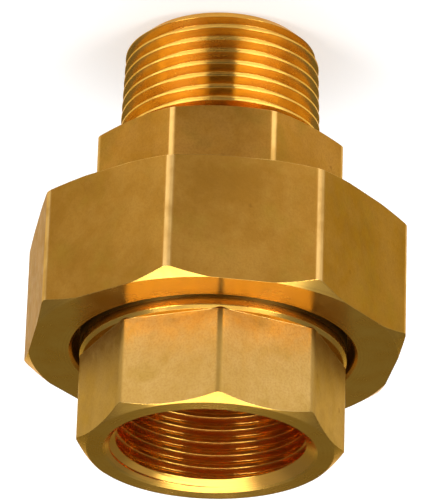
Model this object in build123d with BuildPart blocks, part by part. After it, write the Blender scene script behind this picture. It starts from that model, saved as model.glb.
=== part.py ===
from build123d import *
import os
from math import atan, cos, degrees, radians, tan

# Three-quarter inch pipe union, male by female, with an octagonal union nut and a flat gasket.
# Millimetres. The axis is Z, the origin is the centre of the male end's tip face, and the female
# mouth is at the top. The union is drawn fully tightened.

# ---- heights along the axis ----
male_thread_length = 16.2
nut_bottom = 27.5
nut_height = 17.2
neck_top = 45.85
total_height = 58.4
lip_thickness = 3.45
flange_thickness = 2.6
gasket_thickness = 2.0

nut_top = nut_bottom + nut_height
lip_underside = nut_top - lip_thickness
flange_bottom = lip_underside - flange_thickness
seat_height = flange_bottom - gasket_thickness
collar_bottom = nut_bottom + 1.2

# ---- octagonal wrench bodies ----
body_across_flats = 32.3
nut_across_flats = 47.5
body_corner_round = 1.3
nut_corner_round = 1.8
male_octagon_turn = 21.2
nut_octagon_turn = 14.1
female_octagon_turn = -2.7

# ---- pipe threads: 3/4 inch, 14 turns to the inch ----
pipe_pitch = 1.814
pipe_major_radius = 13.2205
pipe_minor_radius = 12.0585
pipe_bored_radius = 12.3  # the female thread's crests, as bored before tapping
pipe_root_width = pipe_pitch / 6
pipe_gauge_length = 9.5  # from the tip to where the tapered thread has its nominal size
pipe_taper = 1 / 32  # growth in radius for each millimetre along the axis
female_thread_depth = 14.5

# ---- union thread: 1 1/4 inch parallel, 11 turns to the inch ----
union_pitch = 2.309
collar_crest_radius = 20.85
collar_root_radius = 19.35
nut_crest_radius = 19.6
nut_root_radius = 21.05
union_flank_play = 0.12  # along the axis, on each flank

# ---- bores, faces and edges ----
waterway_radius = 9.5
female_bore_radius = 10.4
lip_opening_radius = 18.5
neck_radius = 17.45
flange_radius = 19.25
gasket_outer_radius = 18.9
gasket_inner_radius = 12.4
tip_face_radius = 11.2
mouth_radius = 13.9
edge_break = 0.4

# ---- thread form ----
flank_half_angle = 27.5
flank_spread = 2 * tan(radians(flank_half_angle))  # a groove widens by this for each unit of depth
past_crest = 0.15  # how far a groove's swept shape reaches past the crests

# Turned outlines are drawn on this half-plane as (radius, height), opposite to where threads start.
turning_plane = Plane(origin=(0, 0, 0), x_dir=(-1, 0, 0), z_dir=(0, 1, 0))


def turned(outline):
    """Solid of revolution from an outline of (radius, height) points."""
    with BuildPart() as solid:
        with BuildSketch(turning_plane):
            with BuildLine():
                Polyline(*outline, close=True)
            make_face()
        revolve(axis=Axis.Z)
    return solid.part


def corner_radius(across_flats):
    """Distance from the axis to the sharp corner of a regular octagon."""
    return across_flats / 2 / cos(radians(22.5))


def octagon_bar(across_flats, bottom, top, rotation, corner_round, end_circles, end_angles):
    """Octagonal bar with rounded corners, both ends turned down on the lathe to a circle."""
    reach = corner_radius(across_flats) + 1
    bottom_rise = (reach - end_circles[0]) * tan(radians(end_angles[0]))
    top_drop = (reach - end_circles[1]) * tan(radians(end_angles[1]))
    lathe_envelope = turned(
        [
            (0, bottom),
            (end_circles[0], bottom),
            (reach, bottom + bottom_rise),
            (reach, top - top_drop),
            (end_circles[1], top),
            (0, top),
        ]
    )
    with BuildPart() as bar:
        with BuildSketch(Plane.XY.offset(bottom)) as outline:
            RegularPolygon(radius=corner_radius(across_flats), side_count=8, rotation=rotation)
            fillet(outline.vertices(), radius=corner_round)
        extrude(amount=top - bottom)
        add(lathe_envelope, mode=Mode.INTERSECT)
    return bar.part


def thread_groove(pitch, start, turns, root_radius, crest_radius, root_width, taper=0):
    """The space beside a single right-hand thread, as one solid swept along its helix.

    It starts on the +X side at the start height, where the two radii are taken. An external
    thread's groove opens outward, and an internal one's opens inward.
    """
    outward = 1 if crest_radius > root_radius else -1
    open_radius = crest_radius + outward * past_crest
    open_width = root_width + abs(open_radius - root_radius) * flank_spread
    with BuildPart() as groove:
        with BuildLine() as path:
            Helix(
                pitch=pitch,
                height=turns * pitch,
                radius=root_radius,
                center=(0, 0, start),
                cone_angle=degrees(atan(taper)),
            )
        with BuildSketch(Plane(origin=(0, 0, start), x_dir=(1, 0, 0), z_dir=(0, -1, 0))):
            with BuildLine():
                Polyline(
                    (root_radius, -root_width / 2),
                    (open_radius, -open_width / 2),
                    (open_radius, open_width / 2),
                    (root_radius, root_width / 2),
                    close=True,
                )
            make_face()
        sweep(path=path.line, is_frenet=True)
    return groove.part


def threaded_ring(outline, groove):
    """Turned ring with a thread cut into it."""
    with BuildPart() as ring:
        add(turned(outline))
        add(groove, mode=Mode.SUBTRACT)
    return ring.part


# ---- male end: tapered pipe thread ----
relief_length = 1.3  # plain turned groove where the pipe thread runs out
relief_bottom = male_thread_length - relief_length
tip_chamfer = 1.6


def tapered_radius(gauge_radius, height):
    """Radius at a height above the tip of a cone that has gauge_radius at the gauge plane."""
    return gauge_radius + (height - pipe_gauge_length) * pipe_taper


male_groove_start = -1.0
male_groove_turns = 9.15  # ends in the relief
male_pipe_thread = threaded_ring(
    [
        (waterway_radius, 0),
        (tip_face_radius, 0),
        (tapered_radius(pipe_major_radius, tip_chamfer), tip_chamfer),
        (tapered_radius(pipe_major_radius, relief_bottom), relief_bottom),
        (waterway_radius, relief_bottom),
    ],
    thread_groove(
        pipe_pitch,
        male_groove_start,
        male_groove_turns,
        tapered_radius(pipe_minor_radius, male_groove_start),
        tapered_radius(pipe_major_radius, male_groove_start),
        pipe_root_width,
        pipe_taper,
    ),
)

# ---- male end: union thread on the collar ----
# Where the grooves of the nut and the collar would just touch, both are half a pitch wide.
union_pitch_radius = (collar_crest_radius + collar_root_radius + nut_crest_radius + nut_root_radius) / 4
union_groove_width = union_pitch / 2 + 2 * union_flank_play
collar_root_width = union_groove_width - (union_pitch_radius - collar_root_radius) * flank_spread
collar_groove_start = collar_bottom - 1.345
collar_groove_turns = 5.2
collar_chamfer = 0.9
union_thread = threaded_ring(
    [
        (waterway_radius, collar_bottom),
        (collar_root_radius, collar_bottom),
        (collar_crest_radius, collar_bottom + collar_chamfer),
        (collar_crest_radius, seat_height - collar_chamfer),
        (collar_root_radius - 0.1, seat_height),
        (waterway_radius, seat_height),
    ],
    thread_groove(
        union_pitch,
        collar_groove_start,
        collar_groove_turns,
        collar_root_radius,
        collar_crest_radius,
        collar_root_width,
    ),
)

# ---- male end ----
relief_radius = tapered_radius(pipe_minor_radius, relief_bottom)
male_octagon = octagon_bar(
    body_across_flats,
    male_thread_length,
    collar_bottom,
    male_octagon_turn,
    body_corner_round,
    end_circles=(15.6, 17.2),
    end_angles=(20, 30),
)

with BuildPart() as male_end:
    add(male_octagon)
    add(
        turned(
            [
                (0, relief_bottom),
                (relief_radius, relief_bottom),
                (relief_radius, male_thread_length + 1),
                (0, male_thread_length + 1),
            ]
        )
    )
    add(
        turned(
            [
                (0, relief_bottom - 1),
                (waterway_radius, relief_bottom - 1),
                (waterway_radius, collar_bottom + 1),
                (0, collar_bottom + 1),
            ]
        ),
        mode=Mode.SUBTRACT,
    )
    add(male_pipe_thread)
    add(union_thread)

# ---- union nut ----
# Its thread is cut in a ring that becomes one with the octagonal body.
nut_thread_top = lip_underside - 2.1
nut_relief_radius = nut_root_radius + 0.2
nut_ring_radius = 22.9
nut_lead_in = 1.65
nut_root_width = union_groove_width - (nut_root_radius - union_pitch_radius) * flank_spread
nut_groove_start = collar_groove_start - union_pitch / 2
nut_groove_turns = 5.977
nut_thread = threaded_ring(
    [
        (nut_relief_radius + edge_break / 2, nut_bottom),
        (nut_ring_radius, nut_bottom),
        (nut_ring_radius, nut_thread_top),
        (nut_crest_radius, nut_thread_top),
        (nut_crest_radius, nut_bottom + nut_lead_in),
    ],
    thread_groove(
        union_pitch,
        nut_groove_start,
        nut_groove_turns,
        nut_root_radius,
        nut_crest_radius,
        nut_root_width,
    ),
)
nut_cavity = turned(
    [
        (0, nut_bottom - 1),
        (nut_ring_radius, nut_bottom - 1),
        (nut_ring_radius, nut_thread_top),
        (nut_relief_radius, nut_thread_top),
        (nut_relief_radius, lip_underside),
        (lip_opening_radius, lip_underside),
        (lip_opening_radius, nut_top - edge_break),
        (lip_opening_radius + edge_break, nut_top),
        (lip_opening_radius + edge_break, nut_top + 1),
        (0, nut_top + 1),
    ]
)
nut_octagon = octagon_bar(
    nut_across_flats,
    nut_bottom,
    nut_top,
    nut_octagon_turn,
    nut_corner_round,
    end_circles=(24.0, 24.1),
    end_angles=(20, 35),
)

with BuildPart() as union_nut:
    add(nut_octagon)
    add(nut_cavity, mode=Mode.SUBTRACT)
    add(nut_thread)

# ---- female end ----
thread_floor = total_height - female_thread_depth
relief_floor = thread_floor - 1.4
female_relief_radius = pipe_major_radius + 0.15
female_ring_radius = 15.5
mouth_chamfer = (mouth_radius - pipe_bored_radius) * 0.8
female_groove_start = thread_floor - 0.9
female_groove_turns = (total_height + 1.8 - female_groove_start) / pipe_pitch
female_thread = threaded_ring(
    [
        (pipe_bored_radius, thread_floor + 0.6),
        (pipe_bored_radius, total_height - mouth_chamfer),
        (mouth_radius, total_height),
        (female_ring_radius, total_height),
        (female_ring_radius, thread_floor),
        (female_relief_radius, thread_floor),
    ],
    thread_groove(
        pipe_pitch,
        female_groove_start,
        female_groove_turns,
        pipe_major_radius,
        pipe_bored_radius,
        pipe_root_width,
    ),
)
female_octagon = octagon_bar(
    body_across_flats,
    neck_top,
    total_height,
    female_octagon_turn,
    body_corner_round,
    end_circles=(17.4, 16.0),
    end_angles=(30, 35),
)
neck_and_flange = turned(
    [
        (0, flange_bottom),
        (flange_radius - edge_break, flange_bottom),
        (flange_radius, flange_bottom + edge_break),
        (flange_radius, lip_underside),
        (neck_radius, lip_underside),
        (neck_radius, neck_top - edge_break),
        (neck_radius - edge_break, neck_top),
        (0, neck_top),
    ]
)
female_bore = turned(
    [
        (0, flange_bottom - 1),
        (female_bore_radius, flange_bottom - 1),
        (female_bore_radius, relief_floor - 1),
        (female_relief_radius, relief_floor),
        (female_relief_radius, thread_floor),
        (female_ring_radius, thread_floor),
        (female_ring_radius, total_height + 1),
        (0, total_height + 1),
    ]
)

with BuildPart() as female_end:
    add(female_octagon)
    add(neck_and_flange)
    add(female_bore, mode=Mode.SUBTRACT)
    add(female_thread)

# ---- flat gasket ----
with BuildPart() as flat_gasket:
    with BuildSketch(Plane.XY.offset(seat_height)):
        Circle(gasket_outer_radius)
        Circle(gasket_inner_radius, mode=Mode.SUBTRACT)
    extrude(amount=gasket_thickness)

male_end.part.label = "male_end"
union_nut.part.label = "union_nut"
female_end.part.label = "female_end"
flat_gasket.part.label = "flat_gasket"

os.makedirs("parts", exist_ok=True)
export_step(male_end.part, "parts/male_end.step")
export_step(union_nut.part, "parts/union_nut.step")
export_step(female_end.part, "parts/female_end.step")
export_step(flat_gasket.part, "parts/flat_gasket.step")
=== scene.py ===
from math import cos, pi, radians, sin

import bpy
from mathutils import Euler, Matrix, Vector


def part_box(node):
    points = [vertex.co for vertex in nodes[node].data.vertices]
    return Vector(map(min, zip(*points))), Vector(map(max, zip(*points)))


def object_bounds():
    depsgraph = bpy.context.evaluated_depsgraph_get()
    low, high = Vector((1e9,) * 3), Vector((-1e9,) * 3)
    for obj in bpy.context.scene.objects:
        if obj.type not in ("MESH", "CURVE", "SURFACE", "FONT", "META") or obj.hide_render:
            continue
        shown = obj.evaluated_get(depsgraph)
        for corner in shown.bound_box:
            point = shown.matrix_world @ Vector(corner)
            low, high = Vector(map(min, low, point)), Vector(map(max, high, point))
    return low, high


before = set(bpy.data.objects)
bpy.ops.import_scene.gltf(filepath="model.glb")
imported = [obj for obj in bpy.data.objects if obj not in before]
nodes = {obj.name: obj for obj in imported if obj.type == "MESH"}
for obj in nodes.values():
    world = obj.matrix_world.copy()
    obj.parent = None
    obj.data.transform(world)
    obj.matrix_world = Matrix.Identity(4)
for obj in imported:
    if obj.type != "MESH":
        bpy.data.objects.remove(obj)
cad_low, cad_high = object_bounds()
scene = bpy.context.scene

MM = 0.001

# ---------------------------------------------------------------- the fitting, as drawn in CAD
neck_top = 45.85 * MM  # where the female end's octagon begins
collar_bottom = 28.7 * MM  # where the male end's octagon ends
male_shoulder = 16.25 * MM  # just above the end of the male thread
gap_inside = 17.3 * MM  # radii just clear of both walls of the gap between neck and lip
gap_outside = 18.7 * MM
tapped_radius = 13.6 * MM  # the female thread lies within this radius
tapped_bottom = 42 * MM  # and above this height


# ---------------------------------------------------------------- camera
# It looks down at the female mouth, and it is turned over, so the male thread is at the top of the picture.
camera_distance = 0.5372  # horizontally from the fitting's axis
camera_height = 0.2264 + cad_high.z
camera_pitch = radians(25.417)
camera_yaw = radians(-0.019)
camera_roll = radians(181.799)
camera_lens = 324.73

camera = bpy.data.objects.new("camera", bpy.data.cameras.new("camera"))
scene.collection.objects.link(camera)
aim = Euler((pi / 2 - camera_pitch, 0, camera_yaw)).to_matrix() @ Matrix.Rotation(camera_roll, 3, "Z")
camera.matrix_world = Matrix.Translation((0, -camera_distance, camera_height)) @ aim.to_4x4()
camera.data.sensor_width = 36
camera.data.lens = camera_lens
camera.data.clip_start = 0.02
camera.data.clip_end = 20
scene.camera = camera
scene.view_settings.view_transform = "Standard"


# ---------------------------------------------------------------- node helpers
class Shader:
    """A material's node tree, with short calls for the nodes that the finishes here use."""

    def __init__(self, name):
        self.material = bpy.data.materials.new(name)
        self.material.use_nodes = True
        self.tree = self.material.node_tree
        self.tree.nodes.clear()
        output = self.tree.nodes.new("ShaderNodeOutputMaterial")
        self.principled = self.tree.nodes.new("ShaderNodeBsdfPrincipled")
        self.tree.links.new(self.principled.outputs[0], output.inputs["Surface"])

    def feed(self, socket, value):
        """Links a node's output to a socket, or sets the socket to a plain value."""
        if isinstance(value, bpy.types.NodeSocket):
            self.tree.links.new(value, socket)
        else:
            socket.default_value = value

    def node(self, kind, inputs=(), **settings):
        made = self.tree.nodes.new(kind)
        for key, value in settings.items():
            setattr(made, key, value)
        for key, value in dict(inputs).items():
            self.feed(made.inputs[key], value)
        return made

    def math(self, operation, a, b=0.0):
        return self.node("ShaderNodeMath", {0: a, 1: b}, operation=operation).outputs[0]

    def times(self, *factors):
        """Product of two or more numbers."""
        product = factors[0]
        for factor in factors[1:]:
            product = self.math("MULTIPLY", product, factor)
        return product

    def ramp(self, value, low, high, to_low=0.0, to_high=1.0):
        """Smooth step: to_low where value is low, to_high where it is high."""
        made = self.node(
            "ShaderNodeMapRange",
            {"Value": value, "From Min": low, "From Max": high, "To Min": to_low, "To Max": to_high},
            interpolation_type="SMOOTHSTEP",
        )
        return made.outputs["Result"]

    def noise(self, vector, size, detail=2.0, roughness=0.5, dimensions="3D"):
        """Noise from 0 to 1 whose largest features are about this size, in metres."""
        key = "W" if dimensions == "1D" else "Vector"
        made = self.node(
            "ShaderNodeTexNoise",
            {key: vector, "Scale": 1 / size, "Detail": detail, "Roughness": roughness},
            noise_dimensions=dimensions,
        )
        return made.outputs["Fac"]

    def mix(self, share, a, b):
        """Mixes two numbers."""
        made = self.node("ShaderNodeMix", {"Factor": share, "A": a, "B": b}, data_type="FLOAT")
        return made.outputs[0]

    def mix_colour(self, share, a, b, blend="MIX"):
        made = self.node("ShaderNodeMix", data_type="RGBA", blend_type=blend)
        self.feed(made.inputs[0], share)
        self.feed(made.inputs[6], (*a, 1) if isinstance(a, tuple) else a)
        self.feed(made.inputs[7], (*b, 1) if isinstance(b, tuple) else b)
        return made.outputs[2]

    def bump(self, height, distance, normal=None, strength=1.0):
        inputs = {"Height": height, "Distance": distance, "Strength": strength}
        if normal is not None:
            inputs["Normal"] = normal
        return self.node("ShaderNodeBump", inputs).outputs["Normal"]


# ---------------------------------------------------------------- brass
turned_light = (0.70, 0.41, 0.080)
turned_warm = (0.64, 0.345, 0.058)
turned_ring = (0.45, 0.21, 0.035)  # in the tool's finest marks
# painted reflection: the brighter, more orange brass inside the female thread
tapped_painted_reflection = (0.80, 0.41, 0.075)
# painted shade: the dark colour of the gap between the neck and the nut's lip
gap_painted_shade = (0.05, 0.02, 0.006)
skin_olive = (0.27, 0.155, 0.02)
skin_grain = (0.20, 0.08, 0.008)
skin_pit = (0.16, 0.06, 0.008)
rubbed_brass = (0.62, 0.40, 0.13)
oblique_tint = (1.0, 0.74, 0.42, 1)  # keeps the brass yellow where it is seen at a slant
bevel_radius = 0.12 * MM


def brass(name, flat_z, flat_radius, corner_turn, corner_painted_reflection, blasted_dark, blasted_light, seed):
    """Brass with sand-blasted octagon flats and bright turned faces and threads.

    The flats lie between the two heights of flat_z, and outside flat_radius, and a corner of the
    octagon stands at the angle corner_turn from X. The walls of the gap between the neck and the
    nut's lip get painted shade: dark brass where the gap's shadow falls.
    """
    s = Shader(name)
    coordinates = s.node("ShaderNodeTexCoord")
    place = coordinates.outputs["Object"]
    x, y, z = s.node("ShaderNodeSeparateXYZ", {0: place}).outputs
    radius = s.math("SQRT", s.math("ADD", s.times(x, x), s.times(y, y)))
    normal_x, normal_y, upright = s.node("ShaderNodeSeparateXYZ", {0: coordinates.outputs["Normal"]}).outputs
    shifted = s.node("ShaderNodeVectorMath", {0: place, 1: (seed, seed, seed)}, operation="ADD").outputs[0]

    # where the sand-blasted skin is: the octagon's upright walls
    wall = s.ramp(s.math("ABSOLUTE", upright), 0.25, 0.08)
    outside = s.math("GREATER_THAN", radius, flat_radius)
    above = s.math("GREATER_THAN", z, flat_z[0])
    below = s.math("LESS_THAN", z, flat_z[1])
    blasted = s.times(wall, outside, above, below)

    # edges, found by how far a rounded normal leaves the surface's own
    rounded = s.node("ShaderNodeBevel", {"Radius": bevel_radius}, samples=6).outputs[0]
    own = s.node("ShaderNodeNewGeometry").outputs["Normal"]
    facing = s.node("ShaderNodeVectorMath", {0: rounded, 1: own}, operation="DOT_PRODUCT").outputs["Value"]
    edge = s.ramp(facing, 0.995, 0.90)
    wear = s.noise(shifted, 2.5 * MM, 3)
    rubbed = s.times(edge, s.ramp(wear, 0.35, 0.65, 0.35, 1.0))

    # the octagon's rounded corners, polished smoother by wrenches; their colour is a painted reflection,
    # light strips on the male end and the nut, a dark line on the female end
    bearing = s.math("SUBTRACT", s.math("ARCTAN2", normal_y, normal_x), corner_turn)
    corner = s.ramp(s.math("COSINE", s.times(bearing, 8.0)), -0.97, -0.1)
    corner = s.times(corner, blasted, s.ramp(wear, 0.3, 0.6, 0.55, 1.0))

    # the skin: broad patches, mottling, grain and a few pits
    patches = s.noise(shifted, 9 * MM, 3, 0.55)
    mottle = s.noise(shifted, 1.6 * MM, 4, 0.6)
    grain = s.noise(shifted, 0.28 * MM, 2, 0.6)
    tone = s.math("ADD", s.times(patches, 0.55), s.times(mottle, 0.45))
    olive = s.ramp(s.noise(shifted, 6 * MM, 3, 0.6), 0.5, 0.68)
    pit = s.ramp(s.noise(shifted, 2.2 * MM, 1, 0.4), 0.235, 0.18)
    skin = s.mix_colour(s.ramp(tone, 0.36, 0.66), blasted_dark, blasted_light)
    skin = s.mix_colour(s.times(olive, 0.45), skin, skin_olive)
    skin = s.mix_colour(s.times(s.ramp(grain, 0.58, 0.36), 0.2), skin, skin_grain)
    skin = s.mix_colour(s.times(pit, 0.45), skin, skin_pit)
    skin_rough = s.ramp(mottle, 0.3, 0.7, 0.36, 0.48)

    # turned surfaces: fine rings left by the tool, and faint smudges
    rings = s.noise(s.math("ADD", radius, z), 0.22 * MM, 2, 0.6, "1D")
    smudge = s.noise(shifted, 5 * MM, 4, 0.6)
    turned = s.mix_colour(s.ramp(smudge, 0.35, 0.68), turned_light, turned_warm)
    turned = s.mix_colour(s.times(s.ramp(rings, 0.62, 0.3), 0.18), turned, turned_ring)
    turned_rough = s.math("ADD", s.ramp(smudge, 0.3, 0.7, 0.16, 0.26), s.times(rings, 0.05))

    # painted shade on the walls of the gap between the neck and the nut's lip: dark brass where the gap's
    # shadow falls, and rougher there
    past_neck = s.math("GREATER_THAN", radius, gap_inside)
    short_of_lip = s.math("LESS_THAN", radius, gap_outside)
    deep = s.ramp(z, neck_top - 1.2 * MM, neck_top - 2.4 * MM)
    over_collar = s.math("GREATER_THAN", z, collar_bottom)
    gap_shade_mask = s.times(past_neck, short_of_lip, deep, over_collar, wall)
    turned = s.mix_colour(s.times(gap_shade_mask, 0.85), turned, gap_painted_shade)
    turned_rough = s.mix(gap_shade_mask, turned_rough, 0.5)

    # the female thread: brighter, more orange brass, a painted reflection of the light bouncing about inside
    # the mouth
    tapped = s.times(s.math("LESS_THAN", radius, tapped_radius), s.math("GREATER_THAN", z, tapped_bottom))
    turned = s.mix_colour(s.times(tapped, 0.8), turned, tapped_painted_reflection)
    turned_rough = s.mix(tapped, turned_rough, 0.20)

    colour = s.mix_colour(blasted, turned, skin)
    colour = s.mix_colour(s.times(rubbed, blasted, 0.8), colour, rubbed_brass)
    # painted reflection on the octagon's corners
    colour = s.mix_colour(s.times(corner, 0.75), colour, corner_painted_reflection)
    rough = s.mix(blasted, turned_rough, skin_rough)
    rough = s.mix(s.times(rubbed, blasted), rough, 0.26)
    rough = s.mix(corner, rough, 0.28)

    # upward faces show the tool's rings most
    ring_strength = s.mix(s.ramp(upright, 0.95, 0.99), 0.18, 1.0)
    ring_bump = s.bump(rings, 0.02 * MM, rounded, ring_strength)
    skin_bump = s.bump(mottle, 0.05 * MM, s.bump(grain, 0.02 * MM, rounded, 0.6), 0.5)
    normal = s.node("ShaderNodeMix", data_type="VECTOR")
    s.feed(normal.inputs[0], blasted)
    s.feed(normal.inputs[4], ring_bump)
    s.feed(normal.inputs[5], skin_bump)
    around_axis = s.node("ShaderNodeTangent", direction_type="RADIAL", axis="Z").outputs[0]

    finish = {
        "Metallic": 1.0,
        "Specular Tint": oblique_tint,
        "Anisotropic": 0.8,
        "Anisotropic Rotation": 0.25,
        "Tangent": around_axis,
        "Base Color": colour,
        "Roughness": rough,
        "Normal": normal.outputs[1],
    }
    for socket, value in finish.items():
        s.feed(s.principled.inputs[socket], value)
    return s.material


def rubber(name):
    """Smooth black sheet rubber with a faint grey bloom."""
    s = Shader(name)
    place = s.node("ShaderNodeTexCoord").outputs["Object"]
    bloom = s.noise(place, 3 * MM, 4, 0.6)
    grain = s.noise(place, 0.3 * MM, 2)
    black = (0.018, 0.018, 0.019)
    grey = (0.045, 0.044, 0.043)
    s.feed(s.principled.inputs["Base Color"], s.mix_colour(bloom, black, grey))
    s.feed(s.principled.inputs["Roughness"], s.ramp(bloom, 0.3, 0.7, 0.55, 0.75))
    s.feed(s.principled.inputs["Normal"], s.bump(grain, 0.02 * MM, strength=0.5))
    return s.material


def finish_node(name, material):
    """Gives a CAD node its material."""
    for slot in nodes[name].material_slots:
        slot.material = material


nut_low, nut_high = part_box("union_nut")
finish_node(
    "male_end",
    brass(
        "brass_male_end",
        flat_z=(male_shoulder, collar_bottom),
        flat_radius=15.0 * MM,
        corner_turn=radians(21.2),
        corner_painted_reflection=(0.56, 0.35, 0.11),
        blasted_dark=(0.335, 0.150, 0.018),
        blasted_light=(0.440, 0.215, 0.038),
        seed=0.31,
    ),
)
finish_node(
    "union_nut",
    brass(
        "brass_union_nut",
        flat_z=(nut_low.z, nut_high.z),
        flat_radius=23.0 * MM,
        corner_turn=radians(14.1),
        corner_painted_reflection=(0.56, 0.35, 0.12),
        blasted_dark=(0.250, 0.114, 0.014),
        blasted_light=(0.345, 0.174, 0.030),
        seed=0.57,
    ),
)
finish_node(
    "female_end",
    brass(
        "brass_female_end",
        flat_z=(neck_top, cad_high.z),
        flat_radius=15.8 * MM,
        corner_turn=radians(-2.7),
        corner_painted_reflection=(0.30, 0.17, 0.035),
        # painted light: the female end's skin is lighter than the nut's and the male end's, standing in for
        # the light that falls on it
        blasted_dark=(0.35, 0.205, 0.050),
        blasted_light=(0.42, 0.262, 0.080),
        seed=0.83,
    ),
)
finish_node("flat_gasket", rubber("gasket_rubber"))


# ---------------------------------------------------------------- floor
floor_half = 6.0


def staged_sheet(name, outline, height, material):
    """Flat staging surface facing up, with its outline counterclockwise from above."""
    mesh = bpy.data.meshes.new(name)
    mesh.from_pydata([(x, y, 0) for x, y in outline], [], [tuple(range(len(outline)))])
    mesh.materials.append(material)
    sheet = bpy.data.objects.new(name, mesh)
    sheet.location.z = height
    scene.collection.objects.link(sheet)
    return sheet


paper = Shader("floor_paper")
paper.feed(paper.principled.inputs["Base Color"], (0.60, 0.60, 0.60, 1))
paper.feed(paper.principled.inputs["Roughness"], 0.7)
paper.feed(paper.principled.inputs["Emission Color"], (1, 1, 1, 1))
paper.feed(paper.principled.inputs["Emission Strength"], 0.45)
floor_corners = [(-1, -1), (1, -1), (1, 1), (-1, 1)]
floor_outline = [(x * floor_half, y * floor_half) for x, y in floor_corners]
staged_sheet("floor", floor_outline, cad_low.z, paper.material)


# ---------------------------------------------------------------- light
lamp_lift = 0.0005  # the glows' height over the floor
card_lift = 0.0002  # the dark card's height over the floor


def softbox(name, place, target, size, power):
    """Rectangular area light that faces its target."""
    lamp = bpy.data.lights.new(name, "AREA")
    lamp.shape = "RECTANGLE"
    lamp.size, lamp.size_y = size
    lamp.energy = power
    box = bpy.data.objects.new(name, lamp)
    box.location = place
    box.rotation_euler = (Vector(target) - Vector(place)).to_track_quat("-Z", "Y").to_euler()
    scene.collection.objects.link(box)


def glow(name, bearing, near, far, width, power):
    """Elliptical light lying just over the floor, its long axis pointing at the fitting, shining up."""
    lamp = bpy.data.lights.new(name, "AREA")
    lamp.shape = "ELLIPSE"
    lamp.size = width
    lamp.size_y = far - near
    lamp.energy = power
    panel = bpy.data.objects.new(name, lamp)
    reach = (near + far) / 2
    panel.location = (reach * sin(bearing), -reach * cos(bearing), cad_low.z + lamp_lift)
    panel.rotation_euler = (pi, 0, bearing)
    panel.visible_camera = False
    scene.collection.objects.link(panel)


def sky(tilt, patches, dim, horizon):
    """World light: soft round patches about a direction tilted back from overhead, dim elsewhere.

    Each patch is given as its inner angle, its outer angle and the brightness that it adds.
    """
    world = bpy.data.worlds.new("studio")
    scene.world = world
    world.use_nodes = True
    tree = world.node_tree
    tree.nodes.clear()

    def node(kind, **settings):
        made = tree.nodes.new(kind)
        for key, value in settings.items():
            setattr(made, key, value)
        return made

    def ramp(value, low, high, to_low, to_high):
        made = node("ShaderNodeMapRange", interpolation_type="SMOOTHSTEP")
        for key, number in {"From Min": low, "From Max": high, "To Min": to_low, "To Max": to_high}.items():
            made.inputs[key].default_value = number
        tree.links.new(value, made.inputs["Value"])
        return made.outputs["Result"]

    output = node("ShaderNodeOutputWorld")
    background = node("ShaderNodeBackground")
    tree.links.new(background.outputs[0], output.inputs["Surface"])
    direction = node("ShaderNodeTexCoord").outputs["Generated"]
    towards = node("ShaderNodeVectorMath", operation="DOT_PRODUCT")
    towards.inputs[1].default_value = (0, sin(tilt), cos(tilt))
    tree.links.new(direction, towards.inputs[0])
    height = node("ShaderNodeSeparateXYZ")
    tree.links.new(direction, height.inputs[0])
    total = ramp(height.outputs["Z"], 0.08, 0.22, horizon, dim)
    for inner, outer, bright in patches:
        patch = ramp(towards.outputs["Value"], cos(radians(outer)), cos(radians(inner)), 0, bright)
        added = node("ShaderNodeMath", operation="ADD")
        tree.links.new(total, added.inputs[0])
        tree.links.new(patch, added.inputs[1])
        total = added.outputs[0]
    tree.links.new(total, background.inputs["Strength"])


sky(tilt=radians(4), patches=((36, 50, 0.3), (18, 28, 5.0)), dim=0.30, horizon=0.6)
for side, bearing in (("left", radians(-38)), ("right", radians(43))):
    glow(f"{side}_near_glow", bearing, near=0.017, far=0.062, width=0.032, power=0.0042)
    glow(f"{side}_far_glow", bearing, near=0.062, far=0.170, width=0.090, power=0.018)
for side, across in (("left", -0.45), ("right", 0.45)):
    softbox(f"{side}_softbox", place=(across, -0.45, 0.45), target=(0, 0, 0.04), size=(0.3, 0.3), power=3.2)

# A dark card between the two glows, which only reflections see, a painted dark reflection: it parts the
# thread's two light bands.
dark_card_paint = Shader("painted_dark_reflection")
dark_card_paint.feed(dark_card_paint.principled.inputs["Base Color"], (0.03, 0.02, 0.015, 1))
dark_card_paint.feed(dark_card_paint.principled.inputs["Roughness"], 0.9)
card_near, card_near_half = 0.019, 0.005
card_far, card_far_half = 0.047, 0.0105
card_outline = [
    (-card_near_half, -card_near),
    (-card_far_half, -card_far),
    (card_far_half, -card_far),
    (card_near_half, -card_near),
]
card = staged_sheet("front_flag", card_outline, cad_low.z + card_lift, dark_card_paint.material)
card.visible_camera = False
card.visible_diffuse = False
card.visible_shadow = False

scene.cycles.glossy_bounces = 10  # enough to carry light down into the threads and the mouth
